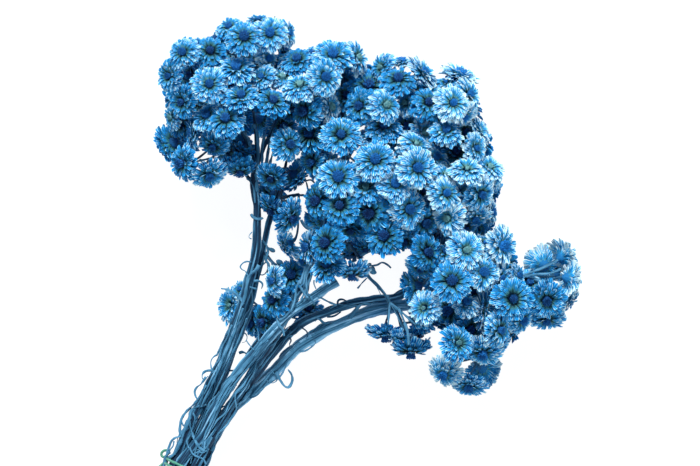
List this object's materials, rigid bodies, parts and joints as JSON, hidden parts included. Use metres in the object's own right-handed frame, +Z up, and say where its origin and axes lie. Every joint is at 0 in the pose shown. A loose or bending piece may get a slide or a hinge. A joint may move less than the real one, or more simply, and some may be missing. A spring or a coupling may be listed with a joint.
{
  "type": "dried strawflower bunch",
  "caption": "Tied bunch of dried, blue-dyed winged everlasting with papery daisy-like heads on branching stalks, lying on a surface.",
  "frame": {"origin": "on the surface that the bunch lies on, under the middle of its bounding box", "axes": "+Z up from the surface, +Y from the cut stalk ends towards the flower heads as in the picture, +X to the picture's right"},
  "size_m": [0.2645, 0.3218, 0.1],
  "materials": {
    "dyed_flower": "matt papery bracts dyed blue, pale at their tips, with a deep blue disc",
    "dyed_stalk": "matt fibrous dry stalk dyed blue-grey",
    "green_wire": "soft green coating"
  },
  "bodies": {
    "root": {"stalk_left": "dyed_flower", "stalk_inner": "dyed_flower", "stalk_centre": "dyed_flower", "stalk_top": "dyed_flower", "stalk_right": "dyed_flower", "stalk_low": "dyed_flower", "stalk_broken": "dyed_stalk", "tie_wire": "green_wire"}
  },
  "joints": []
}
